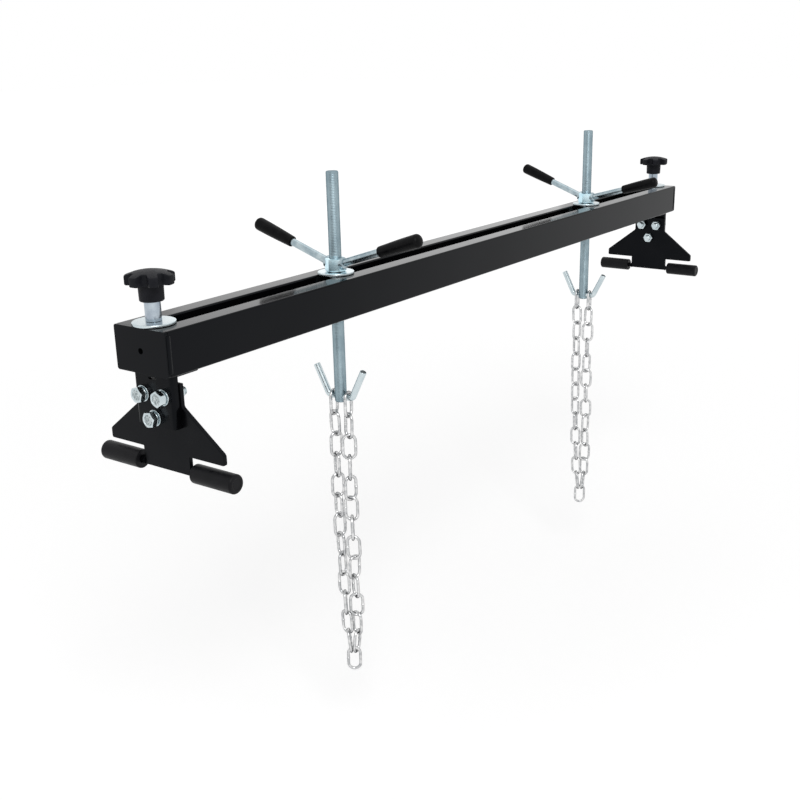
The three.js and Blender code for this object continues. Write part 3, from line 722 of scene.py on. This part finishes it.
# Foot brackets
# Folded from 4 mm sheet: a flange under the slot, a web that carries the bolts and two short returns
# that bear on the foot plate. A slot at the top of the web relieves the bend. Coated in satin black.
bend_rounding = 0.0008
satin_paint = finish("satin_black_powder_coat", (0.0018, 0.0018, 0.0024), (0.0036, 0.0036, 0.0042),
                     30, (0.2, 0.3), 500, 0.00001, Specular_IOR_Level=0.09,
                     Specular_Tint=(0.8, 0.88, 1, 1))


def eased_copy(node, width, steps=2):
    """A copy of a CAD node's sheet metal with its rims eased."""
    copy = bmesh.new()
    copy.from_mesh(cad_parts[node].data)
    bmesh.ops.remove_doubles(copy, verts=copy.verts[:], dist=merge_gap)
    bmesh.ops.dissolve_limit(copy, angle_limit=radians(2), verts=copy.verts[:], edges=copy.edges[:])
    soften(copy, hard_edges(copy), width, steps)
    return copy


for side in ("left", "right"):
    put_on(eased_copy(f"{side}_foot_bracket", bend_rounding), f"{side}_folded_bracket", f"{side}_foot",
           "black_paint", satin_paint, f"{side}_foot_bracket")


# Foot plates
# Cut from 5 mm plate: a neck behind the bracket, a wide triangle with short upright tips, and a
# tongue that is welded to the crossbar. Coated with the crossbar in satin black.
for side in ("left", "right"):
    put_on(eased_copy(f"{side}_foot_plate", rim_rounding), f"{side}_wing_plate", f"{side}_foot",
           "black_paint", satin_paint, f"{side}_foot_plate")


# Foot bolts
# Three M10 hexagon bolts per foot hold the plate to the bracket, each with a spring washer under its
# head, a flat washer and a nut. All are zinc plated.
bolt_pitch = 0.0015
bolt_thread_depth = 0.0007
bolt_flats = 0.016
bolt_radius = 0.005
bolt_head = 0.0064
bolt_chamfer = 0.0007
bolt_clearance = 0.0005
bolt_turns = {1: radians(33), 2: radians(13), 3: radians(10)}
spring_radius = 0.0079
spring_thickness = 0.0025
spring_wire = 0.0028
spring_steps = 60
spring_turn = 0.97 * tau
spring_height = 0.9 * spring_thickness
flat_washer_rim = 0.0005
head_dish = 0.0005
# The dish in each bolt head is darker and mottled: the mottle stands for stamped marks, and the darkening is
# painted shade in the recess.
head_marks_painted_shade_zinc = finish("head_marks_painted_shade_zinc", (0.2, 0.24, 0.25), (0.6, 0.66, 0.67), 480, (0.2, 0.4), 520, 0.00022,
                     Metallic=1)
low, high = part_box("left_foot_bolt_1")
bolt_length = high.x - low.x
under_head = bolt_length - bolt_head
spring = bmesh.new()
section = round_section(spring, 0.5, Matrix.Translation((spring_radius - spring_wire / 2, 0, under_head
                                                         - spring_thickness / 2))
                        @ Matrix.Rotation(pi / 2, 4, "X")
                        @ Matrix.Diagonal((spring_wire, spring_height, 1, 1)), 14)
sink = (spring_height - spring_thickness) / spring_steps
coil = bmesh.ops.spin(spring, geom=section, cent=(0, 0, 0), axis=(0, 0, 1), angle=spring_turn,
                      dvec=(0, 0, sink), steps=spring_steps, use_merge=False)
for end in (section, coil["geom_last"]):
    bmesh.ops.contextual_create(spring, geom=edges_of(end))
bmesh.ops.recalc_face_normals(spring, faces=spring.faces[:])
bolt = joined(
    hexagon(bolt_flats, under_head, bolt_length, both=False, dish=head_dish),
    spring,
    screwed(bolt_radius, bolt_thread_depth, bolt_pitch, 0, under_head, bolt_chamfer),
)
low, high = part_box("left_foot_washer_1")
bore = bolt_radius + bolt_clearance
flat_washer = rounded_ring(bore, (high.y - low.y) / 2, 0, high.x - low.x, flat_washer_rim, 3)
low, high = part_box("left_foot_nut_1")
bolt_nut = hexagon(bolt_flats, 0, high.x - low.x, bore=bore)
for side, outward in (("left", -1), ("right", 1)):
    facing_out = Matrix.Rotation(outward * pi / 2, 4, "Y")
    for number in (1, 2, 3):
        for fastener, name, node, turn in (
            (bolt, "bolt", "foot_bolt", bolt_turns[number]),
            (flat_washer, "washer", "foot_washer", 0),
            (bolt_nut, "nut", "foot_nut", 0),
        ):
            low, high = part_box(f"{side}_{node}_{number}")
            inner = high.x if side == "left" else low.x
            centre = Matrix.Translation((inner, (low.y + high.y) / 2, (low.z + high.z) / 2))
            piece = put_on(moved(fastener.copy(), centre @ facing_out @ Matrix.Rotation(turn, 4, "Z")),
                           f"{side}_{name}_{number}", f"{side}_foot", "zinc", bright_zinc,
                           f"{side}_{node}_{number}")
            if fastener is bolt:
                piece.data.materials.append(head_marks_painted_shade_zinc)
for fastener in (bolt, flat_washer, bolt_nut):
    fastener.free()


# Crossbars and sleeves
# An 8 mm bar crosses the foot of each plate, and the tongue is welded round it and dressed flat. A
# black rubber sleeve, closed at its outer end, is pushed over each half and rests in the wing's gutter.
sleeve_rounding = 0.0026
sleeve_lip = 0.0012
sleeve_wall = 0.003
sleeve_clearance = 0.0003
mouth_chamfer = 0.001
end_rim, end_floor = 0.62, 0.55
end_dish = 0.0006
tongue_half = 0.036
tongue_overlap = 0.0012
tongue_inset = 0.00002
dressing = 0.0006
bar_weld = 0.0009
sleeve_rubber = finish("sleeve_rubber", (0.003, 0.003, 0.0042), (0.006, 0.006, 0.0075),
                       90, (0.36, 0.5), 1100, 0.00002, Specular_IOR_Level=0.14)
for side in ("left", "right"):
    low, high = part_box(f"{side}_foot_crossbar")
    plate_low, plate_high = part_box(f"{side}_foot_plate")
    bar_radius = (high.x - low.x) / 2
    centre = Vector(((low.x + high.x) / 2, 0, (low.z + high.z) / 2))
    tongue = block(Vector((plate_low.x + tongue_inset, -tongue_half, low.z)),
                   Vector((plate_high.x - tongue_inset, tongue_half, plate_low.z + tongue_overlap)))
    soften(tongue, hard_edges(tongue), dressing, 2)
    halves = []
    for way in (1, -1):
        welded = bar_radius + bar_weld
        bar = turned([(0, tongue_half - dressing), (welded, tongue_half - dressing), (welded, tongue_half),
                      (bar_radius + bar_weld / 3, tongue_half + bar_weld),
                      (bar_radius, tongue_half + 2 * bar_weld), (bar_radius, high.y), (0, high.y)], steps=40)
        halves.append(moved(bar, Matrix.Translation(centre) @ Matrix.Rotation(-way * pi / 2, 4, "X")))
    put_on(joined(tongue, *halves), f"{side}_sleeve_bar", f"{side}_foot", "black_paint", satin_paint,
           f"{side}_foot_crossbar")
    for place, way in (("front", -1), ("rear", 1)):
        low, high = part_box(f"{side}_{place}_sleeve")
        radius = (high.x - low.x) / 2
        start, end = min(abs(low.y), abs(high.y)), max(abs(low.y), abs(high.y))
        bore = bar_radius + sleeve_clearance
        profile = [(0, end - sleeve_wall), (bore, end - sleeve_wall), (bore, start + mouth_chamfer),
                   (bore + mouth_chamfer, start), (radius - sleeve_lip, start)]
        profile += [(radius - sleeve_lip + sleeve_lip * sin(step * pi / 8),
                     start + sleeve_lip - sleeve_lip * cos(step * pi / 8)) for step in range(1, 5)]
        profile += [(radius - sleeve_rounding + sleeve_rounding * cos(step * pi / 12),
                     end - sleeve_rounding + sleeve_rounding * sin(step * pi / 12)) for step in range(7)]
        profile += [(radius * end_rim, end), (radius * end_floor, end - end_dish), (0, end - end_dish)]
        sleeve = moved(turned(profile, steps=56),
                       Matrix.Translation(centre) @ Matrix.Rotation(-way * pi / 2, 4, "X"))
        put_on(sleeve, f"{side}_{place}_rubber", f"{side}_foot", "sleeve_rubber", sleeve_rubber,
               f"{side}_{place}_sleeve")


# Clamp studs, washers and spacers
# An M12 stud is welded into each bracket's flange and stands up through the slot, a large washer and
# a tube spacer. All three are zinc plated.
stud_pitch = 0.00175
stud_thread_depth = 0.0009
spacer_rim = 0.0005
drawn_zinc = finish("drawn_zinc", (0.3, 0.35, 0.41), (0.46, 0.52, 0.57), 70, (0.12, 0.2), 500, 0.00001,
                    Metallic=1)
low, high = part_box("left_clamp_stud")
stud_radius = (high.x - low.x) / 2
stud_bore = stud_radius + screw_clearance
stud = screwed(stud_radius, stud_thread_depth, stud_pitch, low.z, high.z, rod_chamfer)
low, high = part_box("left_clamp_washer")
clamp_washer = rounded_ring(stud_bore, high.y, low.z, high.z, washer_rim)
low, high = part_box("left_clamp_spacer")
spacer = rounded_ring(stud_bore, high.y, low.z, high.z, spacer_rim, 3)
foot_place = {}
for side in ("left", "right"):
    low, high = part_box(f"{side}_clamp_stud")
    foot_place[side] = Matrix.Translation(((low.x + high.x) / 2, 0, 0))
    for shape, name, body, node, material in (
        (stud, "stud", "foot", "clamp_stud", drawn_zinc),
        (clamp_washer, "large_washer", "clamp", "clamp_washer", bright_zinc),
        (spacer, "spacer_tube", "clamp", "clamp_spacer", drawn_zinc),
    ):
        put_on(moved(shape.copy(), foot_place[side]), f"{side}_{name}", f"{side}_{body}", "zinc",
               material, f"{side}_{node}")
for shape in (stud, clamp_washer, spacer):
    shape.free()


# Star knobs
# Moulded in matte black plastic: seven rounded lobes with hollow flutes between them, a low domed top
# and a round hub that stands on the spacer.
knob_lobes = 7
knob_turn = radians(30)
lobe_steps = 20
knob_radius = 0.0267
flute_radius = 0.0188
lobe_start, lobe_full = 0.2, 0.72
hub_height = 0.018
rim_height = 0.010
dome_rise = 0.0052
lobe_rounding = 0.0012
hub_radius = 0.0136
hub_foot = 0.0133
hub_rounding = 0.0008
hub_flare = 0.0012
hub_sunk = 0.001
matte_black = finish("matte_black_plastic", (0.0085, 0.009, 0.0115), (0.0135, 0.014, 0.0175),
                     150, (0.4, 0.52), 1600, 0.00002, Specular_IOR_Level=0.08)
low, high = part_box("left_clamp_knob")
rim, shoulder = low.z + hub_height, low.z + hub_height + rim_height
star = bmesh.new()
bmesh.ops.create_circle(star, segments=knob_lobes * lobe_steps, radius=knob_radius)
edges = star.edges[:]
# Each level is a share of the lobed outline and a height, or a drop from the dome
levels = [(0.955, rim, 0), (0.98, rim + 0.0003, 0), (1, rim + lobe_rounding, 0), (1, None, lobe_rounding),
          (0.985, None, 0.0003), (0.955, None, 0)]
levels += [(share, None, 0) for share in (0.8, 0.6, 0.4, 0.2, 0.05)]
for level, (share, height, drop) in enumerate(levels):
    if level:
        _, edges = next_ring(star, edges)
    for vert in {vert for edge in edges for vert in edge.verts}:
        angle = atan2(vert.co.y, vert.co.x)
        swell = ((1 + cos(angle * knob_lobes)) / 2 - lobe_start) / (lobe_full - lobe_start)
        swell = min(1, max(0, swell))
        reach = share * (flute_radius + (knob_radius - flute_radius) * swell**2 * (3 - 2 * swell))
        dome = shoulder + dome_rise * (1 - (reach / knob_radius)**2)
        vert.co = Vector((cos(angle) * reach, sin(angle) * reach, dome - drop if height is None else height))
bmesh.ops.holes_fill(star, edges=star.edges[:], sides=0)
bmesh.ops.recalc_face_normals(star, faces=star.faces[:])
hub = turned([(stud_bore, rim), (stud_bore, low.z), (hub_foot - hub_rounding, low.z),
              (hub_foot, low.z + hub_rounding), (hub_radius, rim - hub_sunk),
              (hub_radius + hub_flare, rim + hub_sunk)], closed=True, steps=56)
knob = moved(joined(star, hub), Matrix.Rotation(knob_turn, 4, "Z"))
for side, turn in (("left", 0), ("right", pi)):
    put_on(moved(knob.copy(), foot_place[side] @ Matrix.Rotation(turn, 4, "Z")), f"{side}_star_knob",
           f"{side}_knob", "knob_plastic", matte_black, f"{side}_clamp_knob")
knob.free()


# Studio
# A pale floor, far enough below for the lowered chains to hang, a white surround and soft lights. The
# camera stands where the photograph was taken, to the front and left of the bar.
floor_drop = 0.12
floor_half = 30.0
floor_tone = 0.8
near_glow, far_glow = 0.3, 0.5
glow_reach = 5.0
ambient = 0.65
camera_place = Vector((-1.4169, -0.8593, 0.4413))
camera_heading = radians(54.297)
camera_dip = radians(17.879)
camera_roll = radians(1.296)
camera_lens = 48.65

floor_mesh = bpy.data.meshes.new("floor")
ground = bmesh.new()
bmesh.ops.create_grid(ground, x_segments=1, y_segments=1, size=floor_half,
                      matrix=Matrix.Translation((0, 0, cad_box[0][2] - floor_drop)))
ground.to_mesh(floor_mesh)
ground.free()
floor = bpy.data.objects.new("floor", floor_mesh)
bpy.context.scene.collection.objects.link(floor)


def seen_directly(tree):
    """A mask of the rays that leave the camera, or that a surface has mirrored or let through."""
    path = tree.nodes.new("ShaderNodeLightPath")
    seen = path.outputs["Is Camera Ray"]
    for ray in ("Is Glossy Ray", "Is Transmission Ray"):
        either = tree.nodes.new("ShaderNodeMath")
        either.operation = "MAXIMUM"
        tree.links.new(seen, either.inputs[0])
        tree.links.new(path.outputs[ray], either.inputs[1])
        seen = either.outputs["Value"]
    return seen


pale = bpy.data.materials.new("pale_floor")
pale.use_nodes = True
nodes, links = pale.node_tree.nodes, pale.node_tree.links
nodes.clear()
output = nodes.new("ShaderNodeOutputMaterial")
matte = nodes.new("ShaderNodeBsdfDiffuse")
matte.inputs["Color"].default_value = (floor_tone, floor_tone, floor_tone, 1)
glow = nodes.new("ShaderNodeEmission")
# The glow lifts the floor to white, and most of all far off
spot = nodes.new("ShaderNodeTexCoord")
size = nodes.new("ShaderNodeMapping")
size.inputs["Scale"].default_value = (1 / glow_reach, 1 / glow_reach, 1 / glow_reach)
size.inputs["Location"].default_value = (0, 0, -(cad_box[0][2] - floor_drop) / glow_reach)
links.new(spot.outputs["Object"], size.inputs["Vector"])
near = nodes.new("ShaderNodeTexGradient")
near.gradient_type = "SPHERICAL"
links.new(size.outputs["Vector"], near.inputs["Vector"])
fade = nodes.new("ShaderNodeMapRange")
fade.inputs["To Min"].default_value = far_glow
fade.inputs["To Max"].default_value = near_glow
links.new(near.outputs["Fac"], fade.inputs["Value"])
lift = nodes.new("ShaderNodeMath")
lift.operation = "MULTIPLY"
links.new(fade.outputs["Result"], lift.inputs[1])
links.new(seen_directly(pale.node_tree), lift.inputs[0])
links.new(lift.outputs["Value"], glow.inputs["Strength"])
both = nodes.new("ShaderNodeAddShader")
links.new(matte.outputs["BSDF"], both.inputs[0])
links.new(glow.outputs["Emission"], both.inputs[1])
links.new(both.outputs["Shader"], output.inputs["Surface"])
floor_mesh.materials.append(pale)

surround = bpy.data.worlds.new("surround")
bpy.context.scene.world = surround
surround.use_nodes = True
nodes, links = surround.node_tree.nodes, surround.node_tree.links
background = nodes["Background"]
background.inputs["Color"].default_value = (1, 1, 1, 1)
strength = nodes.new("ShaderNodeMapRange")
strength.inputs["To Min"].default_value = ambient
strength.inputs["To Max"].default_value = 1.0
links.new(seen_directly(surround.node_tree), strength.inputs["Value"])
links.new(strength.outputs["Result"], background.inputs["Strength"])


def soft_light(name, place, aim, size, power):
    """A large square lamp at a place, aimed at a point."""
    lamp = bpy.data.lights.new(name, "AREA")
    lamp.shape = "SQUARE"
    lamp.size = size
    lamp.energy = power
    light = bpy.data.objects.new(name, lamp)
    light.location = place
    light.rotation_euler = (Vector(aim) - Vector(place)).to_track_quat("-Z", "Y").to_euler()
    bpy.context.scene.collection.objects.link(light)


soft_light("key_light", (-2.2, -2.0, 2.6), (0, 0, 0), 1.6, 50)
soft_light("top_light", (0.6, 0.4, 2.8), (0, 0, 0), 1.8, 5)
soft_light("back_light", (4.2, 3.4, 1.5), (0, 0, 0.1), 2.6, 8)

lens = bpy.data.cameras.new("camera")
lens.lens = camera_lens
lens.clip_start = 0.01
camera = bpy.data.objects.new("camera", lens)
camera.matrix_world = (Matrix.Translation(camera_place) @ Matrix.Rotation(-camera_heading, 4, "Z")
                       @ Matrix.Rotation(pi / 2 - camera_dip, 4, "X")
                       @ Matrix.Rotation(-camera_roll, 4, "Z"))
bpy.context.scene.collection.objects.link(camera)
bpy.context.scene.camera = camera
bpy.context.scene.view_settings.view_transform = "Standard"
